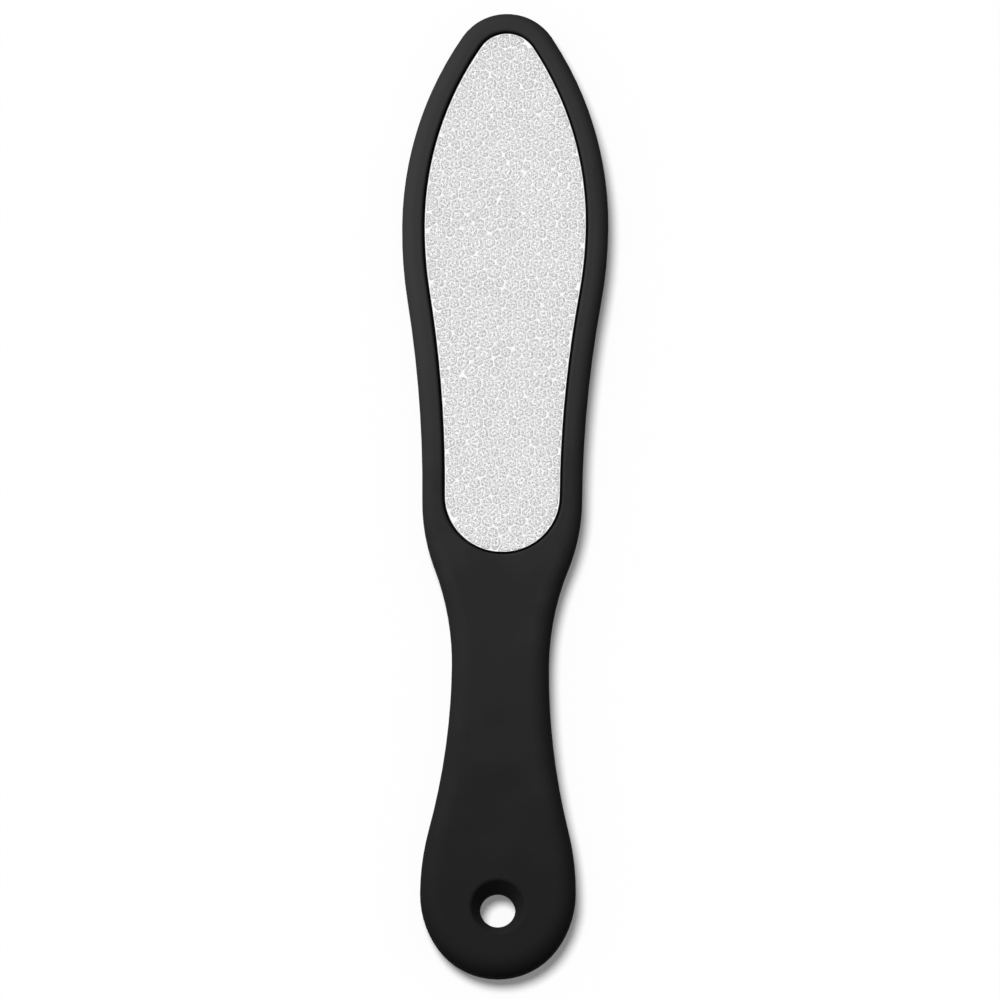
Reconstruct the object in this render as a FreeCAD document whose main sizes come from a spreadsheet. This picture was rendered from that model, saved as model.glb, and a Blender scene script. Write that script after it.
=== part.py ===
import FreeCAD, Part
import math
import os
import re
import Sketcher
from FreeCAD import Vector

# A double-sided paddle foot file. A rigid core board is overmoulded with a soft black grip, which leaves a
# window on each face of the head. An etched abrasive sheet is bonded to the core in each window.
# Every piece is drawn from the tip: stations run from the tip towards the butt, along -Y.

# Driving dimensions in millimetres. Names that end in share are plain ratios.
SIZES = {
    # Plan outline of the grip
    "tip_radius": 14.1,
    "head_width": 54.2,
    "head_reach": 57.5,
    "head_fall_share": 0.267,
    "shoulder_width": 42.0,
    "fall_length": 73.5,
    "shoulder_turn_share": 0.41,
    "waist_width": 25.5,
    "neck_length": 45.0,
    "palm_length": 61.2,
    "palm_swell_share": 0.274,
    "butt_width": 40.8,
    "butt_fullness": 1.15,
    "flank_length": 3.55,
    # Side profile and edge rounding of the grip
    "head_thickness": 10.2,
    "handle_rise": 1.4,
    "butt_droop": 0.8,
    "rise_margin": 6.0,
    "rise_length": 34.0,
    "head_edge_round": 3.3,
    "handle_edge_round": 5.0,
    "side_land": 0.2,
    # Windows in the grip, front and back
    "rim_width": 5.3,
    "window_depth": 1.5,
    "window_edge_round": 0.8,
    # Abrasive sheets and the films under them
    "sheet_clearance": 0.65,
    "sheet_thickness": 0.5,
    "film_thickness": 0.25,
    "film_margin": 0.6,
    # Raised cutting islands of the coarse sheet
    "island_pitch": 3.4,
    "island_channel": 0.43,
    "island_height": 0.2,
    "island_edge_margin": 0.25,
    "island_top_share": 0.72,
    "island_stray_share": 0.08,
    # Rigid core
    "core_skin": 3.2,
    "relief_width": 8.0,
    "relief_length": 20.0,
    "relief_start": 32.0,
    "relief_margin": 9.0,
    "relief_count": 7,
    "key_width": 6.0,
    "key_length": 16.0,
    "key_margin": 12.0,
    "key_count": 3,
    # Flared hanging hole
    "hang_reach": 18.2,
    "throat_radius": 4.6,
    "mouth_radius": 7.0,
    "throat_land": 2.0,
    "mouth_edge_round": 0.8,
    "hole_skin": 1.4,
    # Length by which a cut runs past the face that it opens
    "overrun": 2.0,
}

HEAD_HALF = "head_width / 2"
SHOULDER_HALF = "shoulder_width / 2"
WAIST_HALF = "waist_width / 2"
BUTT_HALF = "butt_width / 2"
SHOULDER_STATION = "(head_reach + fall_length)"
WAIST_STATION = f"({SHOULDER_STATION} + neck_length)"
BUTT_STATION = f"({WAIST_STATION} + palm_length)"
END_RADIUS = "(butt_width / 2 - butt_fullness)"
END_STATION = f"({BUTT_STATION} + flank_length)"
OVERALL_LENGTH = f"({END_STATION} + {END_RADIUS})"
HANG_STATION = f"({OVERALL_LENGTH} - hang_reach)"
HEEL_STATION = f"({SHOULDER_STATION} + shoulder_width / 2 - rim_width)"
HANDLE_THICKNESS = "(head_thickness + handle_rise)"
BUTT_THICKNESS = f"({HANDLE_THICKNESS} - butt_droop)"
SHEET_INSET = "(rim_width + sheet_clearance)"
FILM_INSET = "(rim_width + sheet_clearance + film_margin)"
FRONT_FLOOR = "(head_thickness - window_depth)"
CORE_THICKNESS = "(head_thickness - 2 * window_depth)"
RISE_START = f"({HEEL_STATION} + rise_margin)"
RISE_END = f"({RISE_START} + rise_length)"
RING_RADIUS = "(mouth_radius + hole_skin)"
RELIEF_PITCH = f"(({SHOULDER_STATION} - relief_margin - relief_start) / (relief_count - 1))"
KEY_START = f"({HEEL_STATION} + key_margin + key_length / 2)"
KEY_END = f"({HANG_STATION} - {RING_RADIUS} - key_margin - key_length / 2)"
KEY_PITCH = f"(({KEY_END} - {KEY_START}) / (key_count - 1))"
ISLAND_STRAY = "(island_stray_share * island_pitch)"
ISLAND_HALF = f"((island_pitch - island_channel) / 2 - {ISLAND_STRAY})"

# A sketch's axes by number, the points of its lines and arcs by number, and its origin
X_AXIS, Y_AXIS = -1, -2
START, END, CENTRE = 1, 2, 3
ROOT = (X_AXIS, START)

TOLERANCE_SHARE = 1e-3

doc = FreeCAD.newDocument("foot_file")
sheet = doc.addObject("Spreadsheet::Sheet", "Sizes")
for row, (alias, number) in enumerate(SIZES.items(), start=1):
    sheet.set(f"A{row}", alias)
    sheet.set(f"B{row}", str(number))
    sheet.setAlias(f"B{row}", alias)
doc.recompute()


def bind(expression):
    """The expression with each size's name turned into a reference to its cell."""
    return re.sub(r"[a-z_]+", lambda word: f"Sizes.{word[0]}" if word[0] in SIZES else word[0], expression)


def value(expression):
    """The present value of an expression in the sizes."""
    return float(sheet.evalExpression(bind(expression)))


def swing(wide, narrow, run):
    """Sum of the radii of a full and a hollow arc, tangent to each other, that step from wide to narrow."""
    step = f"({wide} - {narrow})"
    return f"(({step} ^ 2 + ({run}) ^ 2) / (2 * {step}))"


HEAD_SWING = swing(HEAD_HALF, SHOULDER_HALF, "fall_length")
NECK_SWING = swing(SHOULDER_HALF, WAIST_HALF, "neck_length")
PALM_SWING = swing(BUTT_HALF, WAIST_HALF, "palm_length")
HEAD_FALL = f"head_fall_share * {HEAD_SWING}"
SHOULDER_TURN = f"shoulder_turn_share * {NECK_SWING}"
PALM_HOLLOW = f"(1 - palm_swell_share) * {PALM_SWING}"


def new_body(name):
    """A body drawn from the tip and set down with its middle over the origin."""
    body = doc.addObject("PartDesign::Body", name)
    body.setExpression("Placement.Base.y", bind(f"{OVERALL_LENGTH} / 2"))
    return body


def new_sketch(body, name, role, height=None, station=None):
    """A sketch on one of the body's origin planes, lifted by height and moved down the tool to station."""
    sketch = body.newObject("Sketcher::SketchObject", name)
    plane = next(item for item in body.Origin.OriginFeatures if item.Role == role)
    sketch.AttachmentSupport = [(plane, "")]
    sketch.MapMode = "FlatFace"
    if height:
        sketch.setExpression("AttachmentOffset.Base.z", bind(height))
    if station:
        along = "y" if role == "XY_Plane" else "x"
        sketch.setExpression(f"AttachmentOffset.Base.{along}", bind(f"-({station})"))
    return sketch


def new_feature(body, kind, name, sketch, length, upwards=False):
    """A Pad or Pocket of the sketch, as long as the expression says."""
    feature = body.newObject(f"PartDesign::{kind}", name)
    feature.Profile = sketch
    feature.setExpression("Length", bind(length))
    feature.Reversed = upwards
    sketch.Visibility = False
    return feature


def dimension(sketch, name, expression, kind, *places):
    """A named dimension of the sketch, driven by an expression in the sizes."""
    index = sketch.addConstraint(Sketcher.Constraint(kind, *places, value(expression)))
    sketch.renameConstraint(index, name)
    sketch.setExpression(f"Constraints.{name}", bind(expression))


def towards(start, end):
    """The direction from one point to another, of length one."""
    return (end - start).normalize()


def side_arcs(inset):
    """Right-hand arcs from tip to butt, moved in by inset: centre, upper and lower end, and if it is full."""
    tip_radius = value("tip_radius")
    end_radius = value(END_RADIUS)
    head, shoulder = value(HEAD_HALF), value(SHOULDER_HALF)
    waist, butt = value(WAIST_HALF), value(BUTT_HALF)
    head_y, shoulder_y = -value("head_reach"), -value(SHOULDER_STATION)
    waist_y, butt_y = -value(WAIST_STATION), -value(BUTT_STATION)
    tip_centre = Vector(0, -tip_radius)
    end_centre = Vector(0, -value(END_STATION))
    brow = (head**2 - tip_radius**2 + (head_y + tip_radius) ** 2) / (2 * (head - tip_radius))
    flank = (butt**2 - end_radius**2 + (butt_y - end_centre.y) ** 2) / (2 * (butt - end_radius))
    fall, turn, palm = value(HEAD_FALL), value(SHOULDER_TURN), value(PALM_HOLLOW)
    brow_centre = Vector(head - brow, head_y)
    fall_centre = Vector(head - fall, head_y)
    hollow_centre = Vector(shoulder + value(HEAD_SWING) - fall, shoulder_y)
    turn_centre = Vector(shoulder - turn, shoulder_y)
    neck_centre = Vector(waist + value(NECK_SWING) - turn, waist_y)
    palm_centre = Vector(waist + palm, waist_y)
    swell = value(PALM_SWING) - palm
    swell_centre = Vector(butt - swell, butt_y)
    flank_centre = Vector(butt - flank, butt_y)
    brow_top = tip_centre + towards(brow_centre, tip_centre) * (tip_radius - inset)
    widest = Vector(head - inset, head_y)
    fall_end = fall_centre + towards(fall_centre, hollow_centre) * (fall - inset)
    shoulder_point = Vector(shoulder - inset, shoulder_y)
    turn_end = turn_centre + towards(turn_centre, neck_centre) * (turn - inset)
    narrowest = Vector(waist - inset, waist_y)
    swell_top = swell_centre + towards(swell_centre, palm_centre) * (swell - inset)
    butt_point = Vector(butt - inset, butt_y)
    flank_end = end_centre + towards(flank_centre, end_centre) * (end_radius - inset)
    return [
        (brow_centre, brow_top, widest, True),
        (fall_centre, widest, fall_end, True),
        (hollow_centre, fall_end, shoulder_point, False),
        (turn_centre, shoulder_point, turn_end, True),
        (neck_centre, turn_end, narrowest, False),
        (palm_centre, narrowest, swell_top, False),
        (swell_centre, swell_top, butt_point, True),
        (flank_centre, butt_point, flank_end, True),
    ]


def mirrored(point):
    """The point on the other side of the middle line."""
    return Vector(-point.x, point.y)


def add_arc(sketch, centre, first, last):
    """Draws the arc that runs anticlockwise from first to last, and gives its number in the sketch."""
    first_angle = math.atan2(first.y - centre.y, first.x - centre.x)
    last_angle = math.atan2(last.y - centre.y, last.x - centre.x)
    if last_angle < first_angle:
        last_angle += 2 * math.pi
    circle = Part.Circle(centre, Vector(0, 0, 1), (first - centre).Length)
    return sketch.addGeometry(Part.ArcOfCircle(circle, first_angle, last_angle))


def add_side(sketch, arcs, right):
    """Draws one side's arcs, each tangent to the last. Gives (number, upper end, lower end) of each."""
    side = []
    for centre, upper, lower, full in arcs:
        if not right:
            centre, upper, lower = mirrored(centre), mirrored(upper), mirrored(lower)
        if full == right:
            side.append((add_arc(sketch, centre, lower, upper), END, START))
        else:
            side.append((add_arc(sketch, centre, upper, lower), START, END))
    for above, below in zip(side, side[1:]):
        sketch.addConstraint(Sketcher.Constraint("Tangent", above[0], above[2], below[0], below[1]))
    return side


def add_cap(sketch, centre, right, left):
    """Draws the arc that closes the tip or the butt end across the middle line."""
    if right.y > centre.y:
        return add_arc(sketch, centre, right, left), START, END
    return add_arc(sketch, centre, left, right), END, START


def fix_side_end(sketch, name, right, left, half_width, station):
    """Places the lower ends of a pair of arcs level with their centres, at a half width and a station."""
    dimension(sketch, f"{name}_half_width", half_width, "DistanceX", *ROOT, right[0], right[2])
    dimension(sketch, f"{name}_station", station, "DistanceY", right[0], right[2], *ROOT)
    sketch.addConstraint(Sketcher.Constraint("Symmetric", left[0], left[2], right[0], right[2], Y_AXIS))
    for side in (right, left):
        sketch.addConstraint(Sketcher.Constraint("Horizontal", side[0], CENTRE, side[0], side[2]))


def fix_radius(sketch, name, right, left, radius):
    """Sets the radius of a pair of arcs."""
    dimension(sketch, f"{name}_radius", radius, "Radius", right[0])
    sketch.addConstraint(Sketcher.Constraint("Equal", right[0], left[0]))


def fix_cap(sketch, name, cap, radius, station):
    """Sets the radius of an end arc, and its centre's station on the middle line."""
    sketch.addConstraint(Sketcher.Constraint("PointOnObject", cap[0], CENTRE, Y_AXIS))
    dimension(sketch, f"{name}_centre", station, "DistanceY", cap[0], CENTRE, *ROOT)
    dimension(sketch, f"{name}_radius", radius, "Radius", cap[0])


def join_cap(sketch, cap, right, left, below):
    """Makes an end arc tangent to the arcs on both sides of it."""
    side_end = 2 if below else 1
    for position, side in zip(cap[1:], (right, left)):
        sketch.addConstraint(Sketcher.Constraint("Tangent", cap[0], position, side[0], side[side_end]))


def draw_head(sketch, arcs, inset):
    """Tip, brow, fall and hollow of an outline moved in by inset. Gives the two sides' arcs."""
    right = add_side(sketch, arcs, True)
    left = add_side(sketch, arcs, False)
    brow_top = arcs[0][1]
    tip = add_cap(sketch, Vector(0, -value("tip_radius")), brow_top, mirrored(brow_top))
    join_cap(sketch, tip, right[0], left[0], False)
    fix_cap(sketch, "tip", tip, f"tip_radius - {inset}", "tip_radius")
    fix_side_end(sketch, "head", right[0], left[0], f"{HEAD_HALF} - {inset}", "head_reach")
    fix_radius(sketch, "fall", right[1], left[1], f"{HEAD_FALL} - {inset}")
    fix_side_end(sketch, "shoulder", right[2], left[2], f"{SHOULDER_HALF} - {inset}", SHOULDER_STATION)
    return right, left


def draw_paddle(sketch, inset):
    """The whole plan outline, moved in by inset."""
    arcs = side_arcs(value(inset))
    right, left = draw_head(sketch, arcs, inset)
    flank_end = arcs[-1][2]
    end_centre = Vector(0, -value(END_STATION))
    end = add_cap(sketch, end_centre, flank_end, mirrored(flank_end))
    join_cap(sketch, end, right[-1], left[-1], True)
    fix_cap(sketch, "end", end, f"{END_RADIUS} - {inset}", END_STATION)
    fix_radius(sketch, "turn", right[3], left[3], f"{SHOULDER_TURN} - {inset}")
    fix_side_end(sketch, "waist", right[4], left[4], f"{WAIST_HALF} - {inset}", WAIST_STATION)
    fix_radius(sketch, "palm", right[5], left[5], f"{PALM_HOLLOW} + {inset}")
    fix_side_end(sketch, "butt", right[6], left[6], f"{BUTT_HALF} - {inset}", BUTT_STATION)


def draw_window(sketch, inset):
    """The outline of the head alone, moved in by inset and closed by a half circle at the shoulder."""
    arcs = side_arcs(value(inset))[:3]
    right, left = draw_head(sketch, arcs, inset)
    shoulder_point = arcs[-1][2]
    heel = add_arc(sketch, Vector(0, shoulder_point.y), mirrored(shoulder_point), shoulder_point)
    sketch.addConstraint(Sketcher.Constraint("Tangent", heel, END, right[-1][0], right[-1][2]))
    sketch.addConstraint(Sketcher.Constraint("Coincident", heel, START, left[-1][0], left[-1][2]))


def add_polygon(sketch, name, corners):
    """A closed outline through corners given as pairs of expressions, each dimensioned from the origin."""
    points = [Vector(value(across), value(up)) for across, up in corners]
    lines = []
    for first, last in zip(points, points[1:] + points[:1]):
        lines.append(sketch.addGeometry(Part.LineSegment(first, last)))
    for number, (across, up) in enumerate(corners):
        sketch.addConstraint(
            Sketcher.Constraint("Coincident", lines[number - 1], END, lines[number], START)
        )
        place_point(sketch, f"{name}_{number}", lines[number], START, across, up)
    return lines


def place_point(sketch, name, line, end, across, up):
    """Places a point by its two distances from the origin, on whichever side of it they fall."""
    for kind, axis, expression in (("DistanceX", "across", across), ("DistanceY", "up", up)):
        if value(expression) == 0:
            axis_number = Y_AXIS if kind == "DistanceX" else X_AXIS
            sketch.addConstraint(Sketcher.Constraint("PointOnObject", line, end, axis_number))
        elif value(expression) > 0:
            dimension(sketch, f"{name}_{axis}", expression, kind, *ROOT, line, end)
        else:
            dimension(sketch, f"{name}_{axis}", f"-({expression})", kind, line, end, *ROOT)


def draw_top_profile(sketch):
    """Everything above the grip's front face, seen from the side: flat over the head, raised by a hollow and
    a full arc to the handle's crest, then drooping along one long arc to the butt."""
    run = f"({OVERALL_LENGTH} - {RISE_END})"
    droop_radius = f"(({run} ^ 2 + butt_droop ^ 2) / (2 * butt_droop))"
    ceiling = f"{HANDLE_THICKNESS} + 2 * overrun"
    far_end = f"{OVERALL_LENGTH} + overrun"
    head, crest = value("head_thickness"), value(HANDLE_THICKNESS)
    step = value("(rise_length ^ 2 + handle_rise ^ 2) / (4 * handle_rise)")
    front, foot = value("overrun"), -value(RISE_START)
    top, back = -value(RISE_END), -value(far_end)
    droop = value(droop_radius)
    droop_centre = Vector(top, crest - droop)
    tail = Vector(back, droop_centre.y + math.sqrt(droop**2 - (back - top) ** 2))
    middle = Vector((foot + top) / 2, (head + crest) / 2)
    corners = [Vector(front, value(ceiling)), Vector(front, head), Vector(foot, head)]
    roof_end = Vector(back, value(ceiling))
    drop_line = sketch.addGeometry(Part.LineSegment(corners[0], corners[1]))
    flat = sketch.addGeometry(Part.LineSegment(corners[1], corners[2]))
    valley = add_arc(sketch, Vector(foot, head + step), middle, corners[2])
    hill = add_arc(sketch, Vector(top, crest - step), middle, Vector(top, crest))
    back_arc = add_arc(sketch, droop_centre, Vector(top, crest), tail)
    back_line = sketch.addGeometry(Part.LineSegment(tail, roof_end))
    roof = sketch.addGeometry(Part.LineSegment(roof_end, corners[0]))
    for first, first_end, last, last_end in (
        (drop_line, END, flat, START),
        (back_arc, END, back_line, START),
        (back_line, END, roof, START),
        (roof, END, drop_line, START),
    ):
        sketch.addConstraint(Sketcher.Constraint("Coincident", first, first_end, last, last_end))
    for first, first_end, last, last_end in (
        (flat, END, valley, END),
        (valley, START, hill, START),
        (hill, END, back_arc, START),
    ):
        sketch.addConstraint(Sketcher.Constraint("Tangent", first, first_end, last, last_end))
    for line in (flat, roof):
        sketch.addConstraint(Sketcher.Constraint("Horizontal", line))
    for line in (drop_line, back_line):
        sketch.addConstraint(Sketcher.Constraint("Vertical", line))
    sketch.addConstraint(Sketcher.Constraint("Vertical", hill, CENTRE, hill, END))
    sketch.addConstraint(Sketcher.Constraint("Equal", valley, hill))
    place_point(sketch, "front", drop_line, END, "overrun", "head_thickness")
    place_point(sketch, "crest", hill, END, f"-{RISE_END}", HANDLE_THICKNESS)
    dimension(sketch, "foot", RISE_START, "DistanceX", flat, END, *ROOT)
    dimension(sketch, "tail", far_end, "DistanceX", back_arc, END, *ROOT)
    dimension(sketch, "ceiling", ceiling, "DistanceY", *ROOT, roof, END)
    dimension(sketch, "droop_radius", droop_radius, "Radius", back_arc)


def draw_hole(sketch):
    """Half of the hanging hole seen from the side: a short throat that flares to a mouth on each face."""
    middle = f"({BUTT_THICKNESS} / 2)"
    flare = f"(mouth_radius + overrun * (mouth_radius - throat_radius) / ({middle} - throat_land / 2))"
    ceiling = f"{BUTT_THICKNESS} + overrun"
    corners = [
        ("0", "-overrun"),
        (flare, "-overrun"),
        ("throat_radius", f"{middle} - throat_land / 2"),
        ("throat_radius", f"{middle} + throat_land / 2"),
        (flare, ceiling),
        ("0", ceiling),
    ]
    add_polygon(sketch, "hole", corners)


def floor_face(shape):
    """The flat face that the file lies on."""
    return min(shape.Faces, key=lambda face: face.BoundBox.ZMax)


def level_edges(shape, wire):
    """Lower and upper edges of the upright walls that stand on a wire of the floor face."""
    floor = floor_face(shape)
    upright = value("head_thickness") / 2
    edges = []
    for face in shape.Faces:
        stands_on = any(edge.isSame(other) for edge in face.Edges for other in wire.Edges)
        if stands_on and not face.isSame(floor):
            edges += [edge for edge in face.Edges if edge.BoundBox.ZLength < upright]
    return edges


def edge_names(shape, wanted):
    """Names of the shape's edges that are among the wanted ones."""
    return [
        f"Edge{number}"
        for number, edge in enumerate(shape.Edges, start=1)
        if any(edge.isSame(other) for other in wanted)
    ]


def window_edges(shape):
    """Edges where the window's walls meet the grip's two faces."""
    floor = floor_face(shape)
    inner = [wire for wire in floor.Wires if not wire.isSame(floor.OuterWire)]
    return level_edges(shape, max(inner, key=lambda wire: wire.BoundBox.YLength))


def mouth_edges(shape):
    """Edges where the flared hole opens on the grip's two faces."""
    wider = value("throat_radius + mouth_radius")
    edges = []
    for face in shape.Faces:
        if isinstance(face.Surface, Part.Cone):
            edges += [edge for edge in face.Edges if edge.BoundBox.XLength > wider]
    return edges


def round_edges(body, name, edges, radius):
    """Rounds some edges of the body as it stands."""
    base = body.Tip
    feature = body.newObject("PartDesign::Fillet", name)
    feature.Base = (base, edge_names(base.Shape, edges))
    feature.setExpression("Radius", bind(radius))
    doc.recompute()


def make_grip_form():
    """The grip's outer form, still square at its outer edges: slab, top trim, windows and hanging hole."""
    body = new_body("grip_form")
    outline = new_sketch(body, "grip_outline", "XY_Plane")
    draw_paddle(outline, "0")
    new_feature(body, "Pad", "slab", outline, f"{HANDLE_THICKNESS} + overrun")
    profile = new_sketch(body, "top_profile", "YZ_Plane")
    draw_top_profile(profile)
    trim = new_feature(body, "Pocket", "top_trim", profile, "head_width + 2 * overrun")
    trim.SideType = "Symmetric"
    window = new_sketch(body, "window", "XY_Plane")
    draw_window(window, "rim_width")
    new_feature(body, "Pocket", "window_cut", window, "head_thickness + overrun", upwards=True)
    hole = new_sketch(body, "hanging_hole", "YZ_Plane", station=HANG_STATION)
    draw_hole(hole)
    groove = body.newObject("PartDesign::Groove", "hole_cut")
    groove.Profile = hole
    groove.ReferenceAxis = (hole, ["V_Axis"])
    groove.Angle = 360
    doc.recompute()
    round_edges(body, "window_rounding", window_edges(body.Tip.Shape), "window_edge_round")
    round_edges(body, "mouth_rounding", mouth_edges(body.Tip.Shape), "mouth_edge_round")
    return body


def outer_edges(shape):
    """Numbers of the edges round the grip's outline, front and back."""
    names = edge_names(shape, level_edges(shape, floor_face(shape).OuterWire))
    return [int(name.removeprefix("Edge")) for name in names]


def edge_round_at(point):
    """Radius of the outer rounding: the head's up to the shoulder, growing to the handle's at the waist, and
    never so large that the front and back roundings leave no land between them."""
    station = value(OVERALL_LENGTH) / 2 - point.y
    share = min(max((station - value(SHOULDER_STATION)) / value("neck_length"), 0), 1)
    wanted = value("head_edge_round") * (1 - share) + value("handle_edge_round") * share
    thickness = value("head_thickness") * (1 - share) + value(BUTT_THICKNESS) * share
    return min(wanted, (thickness - value("side_land")) / 2)


def next_step(shape, waiting, here):
    """The waiting edge that leaves from here, as (number, start, end), or the first edge of a new loop."""
    slack = TOLERANCE_SHARE * value("window_edge_round")
    steps = []
    for number in waiting:
        edge = shape.Edges[number - 1]
        start, end = edge.valueAt(edge.FirstParameter), edge.valueAt(edge.LastParameter)
        steps.append((number, start, end))
        if here and start.isEqual(here, slack):
            return number, start, end
        if here and end.isEqual(here, slack):
            return number, end, start
    return steps[0]


def make_rounded_form(form):
    """The grip's outer form with its outline rounded on both faces, edge by edge along each loop."""
    rounded = doc.addObject("Part::Fillet", "rounded_form")
    rounded.Base = form
    waiting = outer_edges(form.Shape)
    entries = []
    here = None
    while waiting:
        number, start, here = next_step(form.Shape, waiting, here)
        entries.append((number, edge_round_at(start), edge_round_at(here)))
        waiting.remove(number)
    rounded.Edges = entries
    doc.recompute()
    return rounded


def draw_slot(sketch, length, width, along):
    """A slot with round ends, centred on the sketch's origin and lying along one of its axes."""
    reach = f"(({length} - {width}) / 2)"
    aside = Vector(-along.y, along.x)
    ends = []
    for way in (1, -1):
        centre = along * (way * value(reach))
        flank = aside * (way * value(width) / 2)
        ends.append(add_arc(sketch, centre, centre - flank, centre + flank))
        far_reach = reach if way > 0 else f"-{reach}"
        across, up = (far_reach, "0") if along.x else ("0", far_reach)
        place_point(sketch, f"end_{len(ends)}", ends[-1], CENTRE, across, up)
    for first, last in (ends, ends[::-1]):
        start, finish = sketch.getPoint(first, END), sketch.getPoint(last, START)
        line = sketch.addGeometry(Part.LineSegment(start, finish))
        sketch.addConstraint(Sketcher.Constraint("Tangent", first, END, line, START))
        sketch.addConstraint(Sketcher.Constraint("Tangent", line, END, last, START))
    dimension(sketch, "end_radius", f"{width} / 2", "Radius", ends[0])
    sketch.addConstraint(Sketcher.Constraint("Equal", ends[0], ends[1]))


def add_row(body, original, name, pitch, count):
    """Repeats a cut down the tool."""
    row = body.newObject("PartDesign::LinearPattern", name)
    row.Originals = [original]
    axis = next(item for item in body.Origin.OriginFeatures if item.Role == "Y_Axis")
    row.Direction = (axis, [""])
    row.Reversed = True
    row.setExpression("Length", bind(f"{pitch} * ({count} - 1)"))
    row.setExpression("Occurrences", bind(count))
    body.Tip = row
    return row


def make_core():
    """The rigid board: relief slots under the sheets, keying slots in the handle, a hole in the butt."""
    body = new_body("rigid_core")
    outline = new_sketch(body, "core_outline", "XY_Plane", "window_depth")
    draw_paddle(outline, "core_skin")
    new_feature(body, "Pad", "board", outline, CORE_THICKNESS)
    cut_depth = f"{CORE_THICKNESS} + overrun"
    relief = new_sketch(body, "relief_slot", "XY_Plane", "window_depth", "relief_start")
    draw_slot(relief, "relief_length", "relief_width", Vector(1, 0))
    relief_cut = new_feature(body, "Pocket", "relief_cut", relief, cut_depth, upwards=True)
    add_row(body, relief_cut, "relief_row", RELIEF_PITCH, "relief_count")
    key = new_sketch(body, "key_slot", "XY_Plane", "window_depth", KEY_START)
    draw_slot(key, "key_length", "key_width", Vector(0, 1))
    key_cut = new_feature(body, "Pocket", "key_cut", key, cut_depth, upwards=True)
    add_row(body, key_cut, "key_row", KEY_PITCH, "key_count")
    ring = new_sketch(body, "hole_clearance", "XY_Plane", "window_depth", HANG_STATION)
    circle = ring.addGeometry(Part.Circle(Vector(0, 0), Vector(0, 0, 1), value(RING_RADIUS)))
    ring.addConstraint(Sketcher.Constraint("Coincident", circle, CENTRE, *ROOT))
    dimension(ring, "ring_radius", RING_RADIUS, "Radius", circle)
    new_feature(body, "Pocket", "hole_cut_in_core", ring, cut_depth, upwards=True)
    doc.recompute()
    return body


def make_grip(rounded, core):
    """The soft grip: the rounded form less the core, so that it fills the core's keying slots."""
    grip = doc.addObject("Part::Cut", "soft_grip")
    grip.Base = rounded
    grip.Tool = core
    return grip


def make_layer(name, inset, height, thickness):
    """A flat layer with the window's outline moved in by inset: an abrasive sheet or the film under one."""
    body = new_body(name)
    outline = new_sketch(body, f"{name}_outline", "XY_Plane", height)
    draw_window(outline, inset)
    new_feature(body, "Pad", f"{name}_layer", outline, thickness)
    return body


def island_radius():
    """Distance of an island's corners from its centre, such that no two islands touch."""
    return value(ISLAND_HALF) / math.cos(math.pi / 6)


def island_centres(face):
    """Centres of the cutting islands that fit on the sheet: a triangular grid whose points stray a little,
    each in a direction that turns by the golden angle from one place to the next."""
    pitch = value("island_pitch")
    stray = value(ISLAND_STRAY)
    clear = island_radius() + value("island_edge_margin")
    row_step = pitch * math.sqrt(3) / 2
    golden_angle = math.pi * (3 - math.sqrt(5))
    rows = int(face.BoundBox.YLength / row_step) + 1
    columns = int(face.BoundBox.XLength / pitch / 2) + 1
    centres = []
    for row in range(rows):
        for column in range(-columns, columns + 1):
            turn = golden_angle * (row * (2 * columns + 1) + column)
            across = (column + row % 2 / 2) * pitch + stray * math.cos(turn)
            along = face.BoundBox.YMax - row * row_step + stray * math.sin(turn)
            centre = Vector(across, along, face.BoundBox.ZMax)
            inside = face.isInside(centre, clear * TOLERANCE_SHARE, True)
            if inside and face.OuterWire.distToShape(Part.Vertex(centre))[0] > clear:
                centres.append(centre)
    return centres


def make_island(centre):
    """One cutting island: a low six-sided block that narrows upwards."""
    radius, height = island_radius(), value("island_height")
    top_radius = radius * value("island_top_share")
    spokes = [math.pi * (side + 1 / 2) / 3 for side in range(6)]
    low = [centre + Vector(math.cos(turn), math.sin(turn)) * radius for turn in spokes]
    lift = Vector(0, 0, height)
    high = [centre + lift + Vector(math.cos(turn), math.sin(turn)) * top_radius for turn in spokes]
    loops = [low, high]
    for side in range(6):
        loops.append([low[side - 1], low[side], high[side], high[side - 1]])
    faces = [Part.Face(Part.makePolygon(loop + loop[:1])) for loop in loops]
    return Part.makeSolid(Part.makeShell(faces))


def make_coarse_sheet():
    """The coarse sheet with its raised islands."""
    blank = make_layer("coarse_blank", SHEET_INSET, f"{FRONT_FLOOR} + film_thickness", "sheet_thickness")
    doc.recompute()
    flat = blank.Tip.Shape
    upper_face = max(flat.Faces, key=lambda face: face.CenterOfMass.z)
    islands = [make_island(centre) for centre in island_centres(upper_face)]
    coarse = doc.addObject("Part::Feature", "coarse_abrasive_sheet")
    coarse.Shape = flat.fuse(islands)
    coarse.Placement = blank.Placement
    return coarse


def check(pieces):
    """Stops if any object failed or any piece is not one sound solid."""
    for item in doc.Objects:
        if "Invalid" in item.State or "Error" in item.State:
            raise RuntimeError(f"{item.Name} failed: {item.getStatusString()}")
    for piece in pieces:
        if piece.Shape.isNull() or not piece.Shape.isValid() or len(piece.Shape.Solids) != 1:
            raise RuntimeError(f"{piece.Label} is not one sound solid")


core = make_core()
grip = make_grip(make_rounded_form(make_grip_form()), core)
coarse_film = make_layer("coarse_adhesive_film", FILM_INSET, FRONT_FLOOR, "film_thickness")
coarse_sheet = make_coarse_sheet()
fine_film = make_layer(
    "fine_adhesive_film", FILM_INSET, "window_depth - film_thickness", "film_thickness"
)
fine_sheet = make_layer(
    "fine_abrasive_sheet", SHEET_INSET, "window_depth - film_thickness - sheet_thickness", "sheet_thickness"
)
doc.recompute()

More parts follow.
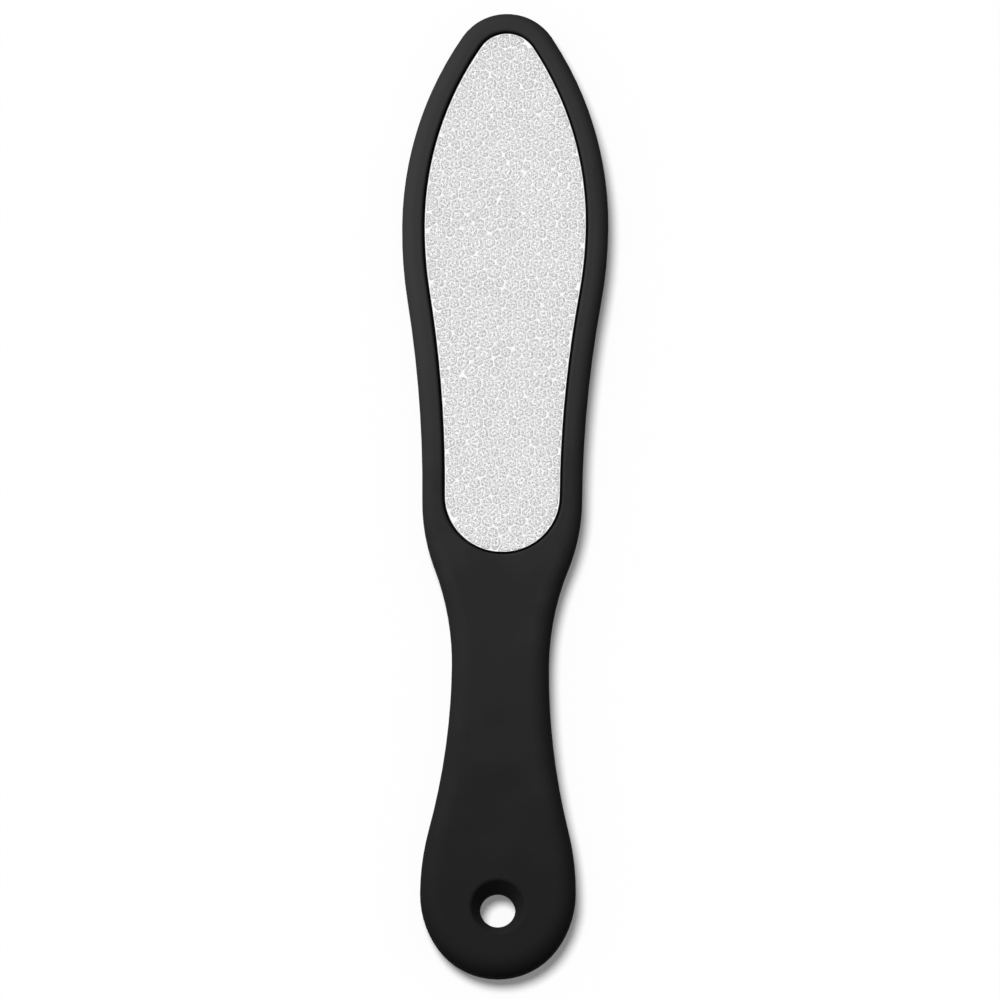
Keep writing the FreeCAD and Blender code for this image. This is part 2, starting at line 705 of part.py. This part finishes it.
pieces = [grip, core, coarse_film, coarse_sheet, fine_film, fine_sheet]
check(pieces)
os.makedirs("parts", exist_ok=True)
for piece in pieces:
    piece.Shape.exportStep(f"parts/{piece.Label}.step")
    print(piece.Label, round(piece.Shape.Volume / 1000, 2), "cm3", len(piece.Shape.Faces), "faces")
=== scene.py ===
import math

import bpy
import numpy as np
from mathutils import Matrix, Vector


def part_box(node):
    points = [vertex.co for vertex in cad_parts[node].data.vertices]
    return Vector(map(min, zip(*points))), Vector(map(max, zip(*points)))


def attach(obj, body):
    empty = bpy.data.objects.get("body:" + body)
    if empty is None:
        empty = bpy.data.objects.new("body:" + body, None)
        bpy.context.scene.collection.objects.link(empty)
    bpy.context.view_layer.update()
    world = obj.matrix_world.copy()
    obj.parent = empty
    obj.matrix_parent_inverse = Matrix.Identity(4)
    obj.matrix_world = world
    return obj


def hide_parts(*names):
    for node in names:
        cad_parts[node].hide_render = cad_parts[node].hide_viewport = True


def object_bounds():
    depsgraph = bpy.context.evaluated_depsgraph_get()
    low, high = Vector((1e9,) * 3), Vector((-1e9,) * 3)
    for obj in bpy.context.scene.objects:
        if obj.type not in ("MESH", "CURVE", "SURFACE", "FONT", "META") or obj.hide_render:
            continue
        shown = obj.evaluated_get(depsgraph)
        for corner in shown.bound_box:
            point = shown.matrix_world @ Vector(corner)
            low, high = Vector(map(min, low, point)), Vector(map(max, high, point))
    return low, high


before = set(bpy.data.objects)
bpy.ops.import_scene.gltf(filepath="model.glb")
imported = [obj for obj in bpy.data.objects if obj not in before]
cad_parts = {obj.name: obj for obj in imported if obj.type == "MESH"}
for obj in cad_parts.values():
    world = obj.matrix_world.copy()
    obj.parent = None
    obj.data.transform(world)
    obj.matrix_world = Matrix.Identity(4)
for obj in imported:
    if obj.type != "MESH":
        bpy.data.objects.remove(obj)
cad_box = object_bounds()

# Camera: a long lens above the file, tilted a little towards the butt
# Lengths are in metres here and below, and the sensor's width is in millimetres
CAMERA_TILT = math.radians(13.5)
CAMERA_ROLL = math.radians(0.63)
CAMERA_DISTANCE = 10.0
SENSOR_WIDTH = 36.0
VIEW_SPAN = 0.2627
AIM_SHIFT = (-0.0006, -0.0013)

# Floor and light: places and sizes in metres, the side lamp's power in watts
FLOOR_SIZE = 6.0
FLOOR_LEVEL = 0.79
FLOOR_ROUGHNESS = 1.0
FLOOR_GLOW = 0.2
KEY_PLACE = (-0.62, 0.62, 2.87)
KEY_ANGLE = math.radians(23.5)
KEY_STRENGTH = 3.09
SIDE_PLACE = (-0.21, 0.14, 0.18)
SIDE_WIDTH = 0.033
SIDE_LENGTH = 0.29
SIDE_POWER = 0.91
SURROUND_STRENGTH = 0.07

# The part of a noise's range that a finish spreads out
NOISE_RANGE = (0.3, 0.7)

# Grip: painted light, its skin grows paler from the first place along Y to the second, towards the head,
# where the light falls more strongly
# That makes up a share of its shade, and mottle the rest; each level has its place along the shade
# Noise scales are in waves to the metre, here and below
PAINTED_LIGHT_START = -0.13
PAINTED_LIGHT_END = 0.06
PAINTED_LIGHT_SHARE = 0.8
GRIP_LEVELS = (
    (0.13, 0.0119), (0.27, 0.013), (0.38, 0.0149),
    (0.55, 0.0158), (0.7, 0.0203), (0.9, 0.0228),
)
GRIP_ROUGHNESS = (0.67, 0.73)
GRIP_IOR = 1.4
GRIP_SPECULAR = 0.01
GRIP_MOTTLE_SCALE = 70.0
GRIP_MOTTLE_DETAIL = 4.0
GRIP_GRAIN_SCALE = 2600.0
GRIP_GRAIN_DETAIL = 2.0
GRIP_GRAIN_HEIGHT = 0.00012
GRIP_GRAIN_STRENGTH = 0.8

# Core and films
# The core is painted darker than its own black, as painted shade in the groove round the sheets, where it
# shows
CORE_SHADED_LEVELS = ((0.3, 0.002), (0.7, 0.004))
CORE_ROUGHNESS = 0.6
CORE_SPECULAR = 0.01
CORE_GRAIN_SCALE = 900.0
CORE_GRAIN_DETAIL = 3.0
CORE_GRAIN_HEIGHT = 0.00003
CORE_GRAIN_STRENGTH = 0.3
FILM_LEVELS = ((0.3, 0.64), (0.7, 0.74))
FILM_ROUGHNESS = 0.35
FILM_STREAK_SCALE = 400.0
FILM_STREAK_DETAIL = 2.0

# Coarse steel: grey levels from a rosette's middle to its bright rim and the channel
# Then its pits, how far out they go, how much one rosette differs from the next, and where its rim starts
RING_LEVELS = (
    (0.0, 0.74), (0.16, 0.78), (0.32, 0.96), (0.44, 0.96),
    (0.6, 0.79), (0.8, 0.8), (0.92, 0.93), (1.0, 0.96),
)
PIT_LEVELS = ((0.15, 0.43), (0.4, 1.0))
PIT_REACH = ((0.8, 1.0), (1.0, 0.25))
PIT_SCALE = 1900.0
ROSETTE_TONES = (0.94, 1.04)
ROSETTE_RIM = (0.8, 0.95)
COARSE_ROUGHNESS = (0.55, 0.4)
COARSE_METALLIC = 0.4
COARSE_BUMP_HEIGHT = 0.00005
COARSE_BUMP_STRENGTH = 0.4

# Fine steel: small cells, with dark middles and bright walls
FINE_LEVELS = ((0.1, 0.56), (0.3, 0.64), (0.55, 0.9))
FINE_CELL_SCALE = 700.0
FINE_ROUGHNESS = 0.5
FINE_METALLIC = 0.5
FINE_BUMP_HEIGHT = 0.0001
FINE_BUMP_STRENGTH = 0.4

# Etched rosettes of the coarse sheet
ROSETTE_PITCH = 0.0031
ROSETTE_CHANNEL = 0.0002
ROSETTE_HEIGHT = 0.00004
CAD_ISLAND_HEIGHT = 0.0002
ROSETTE_STRAY_SHARE = 0.28
ROSETTE_SIZE_SHARES = (0.7, 1.3)
ROSETTE_SETTLE_ROUNDS = 4
ROSETTE_ROUND_SHARE = 1.2
ROSETTE_SECTORS = 12
ROSETTE_SEED = 7
OUTLINE_STEPS = 14
EDGE_MARGIN = 0.00018
LEAST_REACH = 0.00035
# Each ring of a rosette: its share of the reach, and its share of the height
ROSETTE_RING_SHARES = ((1.0, -0.1), (0.82, 0.8), (0.6, 1.0), (0.34, 0.75))
ROSETTE_CENTRE_SHARE = 0.9
# The value of the ring attribute on the bare sheet between the rosettes
BARE_RING = 1.3

# The coarse sheet's body
SHEET_STATIONS = 181
SHEET_BEVEL = 0.00006
LEAST_HALF = 0.00005


def new_material(name):
    """A material with a Principled shader. Gives the material, its node tree and its shader."""
    material = bpy.data.materials.new(name)
    material.use_nodes = True
    tree = material.node_tree
    return material, tree, tree.nodes["Principled BSDF"]


def add_node(tree, kind, settings=(), inputs=(), links=()):
    """A shader node with its settings and input values, and links from other nodes' outputs to its inputs."""
    node = tree.nodes.new(kind)
    for name, setting in dict(settings).items():
        setattr(node, name, setting)
    for name, number in dict(inputs).items():
        node.inputs[name].default_value = number
    for name, output in dict(links).items():
        tree.links.new(output, node.inputs[name])
    return node


def object_place(tree):
    """The place in the object's own metres."""
    return add_node(tree, "ShaderNodeTexCoord").outputs["Object"]


def add_noise(tree, scale, detail):
    """Soft noise in the object's own metres; its scale is in waves to the metre."""
    waves = {"Scale": scale, "Detail": detail}
    links = {"Vector": object_place(tree)}
    return add_node(tree, "ShaderNodeTexNoise", inputs=waves, links=links).outputs["Fac"]


def add_cells(tree, scale):
    """Distance to the nearest of many scattered points; the scale is in cells to the metre."""
    flat = {"voronoi_dimensions": "2D"}
    links = {"Vector": object_place(tree)}
    return add_node(tree, "ShaderNodeTexVoronoi", flat, {"Scale": scale}, links).outputs["Distance"]


def spread(tree, source, given, wanted):
    """A value brought from one range to another, and held inside it."""
    limits = {"From Min": given[0], "From Max": given[1], "To Min": wanted[0], "To Max": wanted[1]}
    return add_node(tree, "ShaderNodeMapRange", inputs=limits, links={"Value": source}).outputs["Result"]


def combine(tree, operation, first, second):
    """Two values put together by one step of arithmetic."""
    links = {0: first, 1: second}
    return add_node(tree, "ShaderNodeMath", {"operation": operation}, links=links).outputs["Value"]


def add_ramp(tree, source, stops):
    """Grey levels along a value. Each stop gives its place and its level."""
    node = add_node(tree, "ShaderNodeValToRGB", links={"Fac": source})
    marks = node.color_ramp.elements
    while len(marks) < len(stops):
        marks.new(1.0)
    for mark, (place, level) in zip(marks, stops):
        mark.position = place
        mark.color = (level, level, level, 1)
    return node.outputs["Color"]


def add_bump(tree, shader, source, height, strength):
    """Fine relief from a value, on the shader's normal."""
    relief = {"Distance": height, "Strength": strength}
    node = add_node(tree, "ShaderNodeBump", inputs=relief, links={"Height": source})
    tree.links.new(node.outputs["Normal"], shader.inputs["Normal"])


def paint(node, material):
    """Gives a CAD node one material."""
    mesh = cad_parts[node].data
    mesh.materials.clear()
    mesh.materials.append(material)


def make_grip_material():
    """Black soft-touch skin: a very dark, matt rubber with fine grain; painted light makes it a little paler
    round the head.
    """
    material, tree, shader = new_material("soft_black")
    mottle = add_noise(tree, GRIP_MOTTLE_SCALE, GRIP_MOTTLE_DETAIL)
    grain = add_noise(tree, GRIP_GRAIN_SCALE, GRIP_GRAIN_DETAIL)
    along = add_node(tree, "ShaderNodeSeparateXYZ", links={"Vector": object_place(tree)}).outputs["Y"]
    # Painted light: the skin grows paler towards the head, where the light falls more strongly
    head = spread(tree, along, (PAINTED_LIGHT_START, PAINTED_LIGHT_END), (0, PAINTED_LIGHT_SHARE))
    shade = combine(tree, "ADD", head, spread(tree, mottle, NOISE_RANGE, (0, 1 - PAINTED_LIGHT_SHARE)))
    tree.links.new(add_ramp(tree, shade, GRIP_LEVELS), shader.inputs["Base Color"])
    tree.links.new(spread(tree, mottle, NOISE_RANGE, GRIP_ROUGHNESS), shader.inputs["Roughness"])
    shader.inputs["IOR"].default_value = GRIP_IOR
    shader.inputs["Specular IOR Level"].default_value = GRIP_SPECULAR
    add_bump(tree, shader, grain, GRIP_GRAIN_HEIGHT, GRIP_GRAIN_STRENGTH)
    return material


def make_core_material():
    """Black moulded plastic with a fine grain, painted darker than its own black as shade in the groove where
    it shows.
    """
    material, tree, shader = new_material("core_plastic")
    grain = add_noise(tree, CORE_GRAIN_SCALE, CORE_GRAIN_DETAIL)
    tree.links.new(add_ramp(tree, grain, CORE_SHADED_LEVELS), shader.inputs["Base Color"])
    shader.inputs["Roughness"].default_value = CORE_ROUGHNESS
    shader.inputs["Specular IOR Level"].default_value = CORE_SPECULAR
    add_bump(tree, shader, grain, CORE_GRAIN_HEIGHT, CORE_GRAIN_STRENGTH)
    return material


def make_film_material():
    """Pale adhesive film with small streaks."""
    material, tree, shader = new_material("adhesive_film")
    streaks = add_noise(tree, FILM_STREAK_SCALE, FILM_STREAK_DETAIL)
    tree.links.new(add_ramp(tree, streaks, FILM_LEVELS), shader.inputs["Base Color"])
    shader.inputs["Roughness"].default_value = FILM_ROUGHNESS
    return material


def make_coarse_material():
    """Etched steel: bright channels round pitted grey rosettes, each with a lighter ring."""
    material, tree, shader = new_material("coarse_etched_steel")
    ring = add_node(tree, "ShaderNodeAttribute", {"attribute_name": "ring"}).outputs["Fac"]
    tone = add_node(tree, "ShaderNodeAttribute", {"attribute_name": "tone"}).outputs["Fac"]
    rings = add_ramp(tree, ring, RING_LEVELS)
    pits = add_ramp(tree, add_cells(tree, PIT_SCALE), PIT_LEVELS)
    inside = add_ramp(tree, ring, PIT_REACH)
    darken = {"data_type": "RGBA", "blend_type": "MULTIPLY"}
    pitted = add_node(tree, "ShaderNodeMix", darken, links={0: inside, 6: rings, 7: pits}).outputs[2]
    parts = {"Color": pitted, "Value": spread(tree, tone, (0, 1), ROSETTE_TONES)}
    toned = add_node(tree, "ShaderNodeHueSaturation", links=parts).outputs["Color"]
    tree.links.new(toned, shader.inputs["Base Color"])
    tree.links.new(spread(tree, ring, ROSETTE_RIM, COARSE_ROUGHNESS), shader.inputs["Roughness"])
    shader.inputs["Metallic"].default_value = COARSE_METALLIC
    add_bump(tree, shader, rings, COARSE_BUMP_HEIGHT, COARSE_BUMP_STRENGTH)
    return material


def make_fine_material():
    """Finely etched steel: small close-set cells with bright walls."""
    material, tree, shader = new_material("fine_etched_steel")
    cells = add_cells(tree, FINE_CELL_SCALE)
    tree.links.new(add_ramp(tree, cells, FINE_LEVELS), shader.inputs["Base Color"])
    shader.inputs["Roughness"].default_value = FINE_ROUGHNESS
    shader.inputs["Metallic"].default_value = FINE_METALLIC
    add_bump(tree, shader, cells, FINE_BUMP_HEIGHT, FINE_BUMP_STRENGTH)
    return material


def read_points(node):
    """The vertices of a CAD node."""
    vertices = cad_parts[node].data.vertices
    places = np.empty(3 * len(vertices))
    vertices.foreach_get("co", places)
    return places.reshape(-1, 3)


def read_half_outline(node):
    """Stations along Y and the half width there, from the flat underside of a symmetric CAD sheet."""
    points = read_points(node)
    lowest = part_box(node)[0].z
    under = points[(points[:, 2] < lowest + SHEET_BEVEL) & (points[:, 0] >= 0)]
    order = np.argsort(under[:, 1])
    return under[order, 1], under[order, 0]


def add_mesh(name, points, faces, smooth, material):
    """A mesh object from points and faces, some of them shaded smooth."""
    mesh = bpy.data.meshes.new(name)
    mesh.from_pydata(points.tolist(), [], faces)
    mesh.polygons.foreach_set("use_smooth", smooth)
    mesh.materials.append(material)
    piece = bpy.data.objects.new(name, mesh)
    bpy.context.scene.collection.objects.link(piece)
    return piece


def add_attribute(piece, name, numbers):
    """One number for each vertex, for the material."""
    piece.data.attributes.new(name, "FLOAT", "POINT").data.foreach_set("value", numbers)


def room_inside(points, stations, halves):
    """How far points lie inside the outline, measured across the sheet."""
    return np.interp(points[..., 1], stations, halves, left=0, right=0) - np.abs(points[..., 0])


def rosette_centres(stations, halves):
    """Points of a close-packed lattice, each moved a little at random, that lie inside the outline."""
    rng = np.random.default_rng(ROSETTE_SEED)
    rows = np.arange(stations[0], stations[-1], ROSETTE_PITCH * math.sqrt(3) / 2)
    columns = np.arange(-halves.max() - ROSETTE_PITCH, halves.max() + ROSETTE_PITCH, ROSETTE_PITCH)
    stagger = (np.arange(len(rows)) % 2) * ROSETTE_PITCH / 2
    x = columns[None, :] + stagger[:, None]
    y = np.broadcast_to(rows[:, None], x.shape)
    points = np.stack((x.ravel(), y.ravel()), axis=1)
    stray = ROSETTE_STRAY_SHARE * ROSETTE_PITCH
    points = points + rng.uniform(-stray, stray, points.shape)
    return points[room_inside(points, stations, halves) > EDGE_MARGIN + LEAST_REACH]


def rosette_reach(centres, sizes, stations, halves, directions):
    """How far each rosette reaches in each direction: its share, by size, of the way to the neighbour that
    bounds it there, less half a channel, not far past its own mean, and not past the sheet's edge."""
    gaps = centres[None] - centres[:, None]
    along = gaps @ directions.T
    shares = sizes[:, None] / (sizes[:, None] + sizes[None])
    square = (shares * (gaps ** 2).sum(axis=2))[:, :, None]
    bounds = np.divide(square, along, out=np.full(along.shape, ROSETTE_PITCH), where=along > LEAST_REACH)
    reach = bounds.min(axis=1) - ROSETTE_CHANNEL / 2
    reach = np.minimum(reach, ROSETTE_ROUND_SHARE * reach.mean(axis=1, keepdims=True))
    steps = np.linspace(0, 1, OUTLINE_STEPS)
    trial = centres[:, None, None] + (reach[:, :, None] * steps)[..., None] * directions[None, :, None]
    inside = np.cumprod(room_inside(trial, stations, halves) > EDGE_MARGIN, axis=2)
    return reach * np.max(inside * steps, axis=2)


def settle_rosettes(stations, halves, directions):
    """Centres and reaches of the rosettes. Each has its own size, drawn at random. A few times over, each
    centre moves to the middle of its reach. Rosettes that the edge leaves no room for are dropped."""
    centres = rosette_centres(stations, halves)
    sizes = np.random.default_rng(ROSETTE_SEED).uniform(*ROSETTE_SIZE_SHARES, len(centres))
    for _ in range(ROSETTE_SETTLE_ROUNDS):
        reach = rosette_reach(centres, sizes, stations, halves, directions)
        centres = centres + (reach[:, :, None] * directions).mean(axis=1)
    reach = rosette_reach(centres, sizes, stations, halves, directions)
    wide = reach.min(axis=1) > LEAST_REACH / 2
    return centres[wide], reach[wide]


def rosette_mesh(centres, reach, directions, top):
    """Points, faces and ring numbers of all rosettes, and how many faces are smooth. Each rosette is a stack
    of closed rings that follow its reach, each a share of the reach wide at a share of the height, with a
    middle point and a flat underside."""
    count, sectors = reach.shape
    shares = np.array(ROSETTE_RING_SHARES)
    rings = len(shares)
    wide = reach[:, None, :, None] * shares[None, :, 0, None, None]
    flat = centres[:, None, None] + wide * directions[None, None]
    level = np.broadcast_to((top + ROSETTE_HEIGHT * shares[:, 1])[None, :, None, None], flat.shape[:3] + (1,))
    walls = np.concatenate((flat, level), axis=3).reshape(count, rings * sectors, 3)
    middle_level = np.full((count, 1, 1), top + ROSETTE_HEIGHT * ROSETTE_CENTRE_SHARE)
    middles = np.concatenate((centres[:, None, :], middle_level), axis=2)
    points = np.concatenate((walls, middles), axis=1)
    ring = np.append(np.repeat(shares[:, 0], sectors), 0.0)
    start = np.arange(count)[:, None, None] * points.shape[1]
    here = np.arange(sectors)
    after = (here + 1) % sectors
    lower = np.arange(rings - 1)[:, None] * sectors
    quads = np.stack((lower + here, lower + after, lower + sectors + after, lower + sectors + here), axis=2)
    last = (rings - 1) * sectors
    fans = np.stack((last + here, last + after, np.full(sectors, rings * sectors)), axis=1)
    quads = (start + quads.reshape(1, -1, 4)).reshape(-1, 4)
    fans = (start + fans[None]).reshape(-1, 3)
    unders = start[:, 0] + here[::-1][None]
    faces = quads.tolist() + fans.tolist() + unders.tolist()
    return points.reshape(-1, 3), faces, np.tile(ring, count), len(quads) + len(fans)


def sheet_mesh(stations, halves, bottom, top, start):
    """The sheet's body: its bevelled cross-section, as wide as the outline at each station, swept along Y.
    Stations close up towards both ends, where the outline turns. Its points are numbered from start."""
    turn = np.linspace(0, math.pi, SHEET_STATIONS)
    y = (stations[0] + stations[-1]) / 2 - np.cos(turn) * (stations[-1] - stations[0]) / 2
    half = np.maximum(np.interp(y, stations, halves), LEAST_HALF)
    inner = np.maximum(half - SHEET_BEVEL, half / 2)
    x = np.stack((-half, half, half, inner, -inner, -half), axis=1)
    z = np.broadcast_to((bottom, bottom, top - SHEET_BEVEL, top, top, top - SHEET_BEVEL), x.shape)
    points = np.stack((x, np.broadcast_to(y[:, None], x.shape), z), axis=2)
    corners = x.shape[1]
    here = start + np.arange(corners)
    after = np.roll(here, -1)
    first = np.arange(SHEET_STATIONS - 1)[:, None] * corners
    quads = np.stack((first + after, first + here, first + corners + here, first + corners + after), axis=2)
    ends = [here.tolist(), ((SHEET_STATIONS - 1) * corners + here[::-1]).tolist()]
    return points.reshape(-1, 3), quads.reshape(-1, 4).tolist() + ends


def make_coarse_sheet(material):
    """The front sheet with its etched rosettes, fitted to the CAD sheet's outline and height."""
    node = "coarse_abrasive_sheet"
    stations, halves = read_half_outline(node)
    lowest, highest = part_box(node)
    top = highest.z - CAD_ISLAND_HEIGHT
    angles = np.arange(ROSETTE_SECTORS) * 2 * math.pi / ROSETTE_SECTORS
    directions = np.stack((np.cos(angles), np.sin(angles)), axis=1)
    centres, reach = settle_rosettes(stations, halves, directions)
    points, faces, ring, smooth_count = rosette_mesh(centres, reach, directions, top)
    body_points, body_faces = sheet_mesh(stations, halves, lowest.z, top, len(points))
    smooth = np.arange(len(faces) + len(body_faces)) < smooth_count
    tone = np.random.default_rng(ROSETTE_SEED).uniform(0, 1, len(centres))
    tones = np.repeat(tone, len(ring) // len(centres))
    all_points = np.concatenate((points, body_points))
    piece = add_mesh("coarse_sheet", all_points, faces + body_faces, smooth, material)
    add_attribute(piece, "ring", np.append(ring, np.full(len(body_points), BARE_RING)))
    add_attribute(piece, "tone", np.append(tones, np.ones(len(body_points))))
    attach(piece, "root")
    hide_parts(node)


def make_floor():
    """White floor with a little light of its own, so that shadows stay pale. It throws no light back up."""
    bpy.ops.mesh.primitive_plane_add(size=FLOOR_SIZE, location=(0, 0, 0))
    floor = bpy.context.object
    floor.name = "floor"
    material, _, shader = new_material("floor_white")
    shader.inputs["Base Color"].default_value = (FLOOR_LEVEL, FLOOR_LEVEL, FLOOR_LEVEL, 1)
    shader.inputs["Roughness"].default_value = FLOOR_ROUGHNESS
    shader.inputs["Specular IOR Level"].default_value = 0.0
    shader.inputs["Emission Color"].default_value = (1, 1, 1, 1)
    shader.inputs["Emission Strength"].default_value = FLOOR_GLOW
    floor.data.materials.append(material)
    floor.visible_diffuse = False


def make_camera():
    """The camera that takes the main picture."""
    data = bpy.data.cameras.new("camera")
    data.sensor_width = SENSOR_WIDTH
    data.lens = SENSOR_WIDTH * CAMERA_DISTANCE / VIEW_SPAN
    data.clip_end = 2 * CAMERA_DISTANCE
    camera = bpy.data.objects.new("camera", data)
    bpy.context.scene.collection.objects.link(camera)
    lowest, highest = cad_box
    middle = (Vector(lowest) + Vector(highest)) / 2
    turn = Matrix.Rotation(CAMERA_TILT, 4, "X") @ Matrix.Rotation(CAMERA_ROLL, 4, "Z")
    place = turn @ Matrix.Translation((AIM_SHIFT[0], AIM_SHIFT[1], CAMERA_DISTANCE))
    camera.matrix_world = Matrix.Translation(middle) @ place
    bpy.context.scene.camera = camera


def add_light(name, kind, place):
    """A light that faces the origin."""
    data = bpy.data.lights.new(name, kind)
    light = bpy.data.objects.new(name, data)
    bpy.context.scene.collection.objects.link(light)
    light.location = place
    light.rotation_euler = (-Vector(place)).to_track_quat("-Z", "Y").to_euler()
    return light


def make_key_light():
    """A broad soft light from the top left, which gives the shadow and no glare."""
    key = add_light("key", "SUN", KEY_PLACE)
    key.data.angle = KEY_ANGLE
    key.data.energy = KEY_STRENGTH
    key.visible_glossy = False


def make_side_light():
    """A long lamp on the same side, which models the dark grip and its core and leaves the rest as it is."""
    side = add_light("side", "AREA", SIDE_PLACE)
    side.data.shape = "RECTANGLE"
    side.data.size = SIDE_WIDTH
    side.data.size_y = SIDE_LENGTH
    side.data.energy = SIDE_POWER
    side.visible_camera = False
    lit = bpy.data.collections.new("lit_by_side")
    for node in ("soft_grip", "rigid_core"):
        lit.objects.link(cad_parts[node])
    side.light_linking.receiver_collection = lit


def make_surround():
    """A surround that is white where it is seen, directly or in gloss, and gives a little soft light."""
    world = bpy.data.worlds.new("surround")
    world.use_nodes = True
    tree = world.node_tree
    back = tree.nodes["Background"]
    back.inputs["Color"].default_value = (1, 1, 1, 1)
    path = add_node(tree, "ShaderNodeLightPath").outputs
    gloss = combine(tree, "MAXIMUM", path["Is Glossy Ray"], path["Is Transmission Ray"])
    seen = combine(tree, "MAXIMUM", path["Is Camera Ray"], gloss)
    tree.links.new(spread(tree, seen, (0, 1), (SURROUND_STRENGTH, 1)), back.inputs["Strength"])
    bpy.context.scene.world = world
    bpy.context.scene.view_settings.view_transform = "Standard"


film_material = make_film_material()
paint("soft_grip", make_grip_material())
paint("rigid_core", make_core_material())
paint("coarse_adhesive_film", film_material)
paint("fine_adhesive_film", film_material)
paint("fine_abrasive_sheet", make_fine_material())
make_coarse_sheet(make_coarse_material())
make_floor()
make_camera()
make_key_light()
make_side_light()
make_surround()
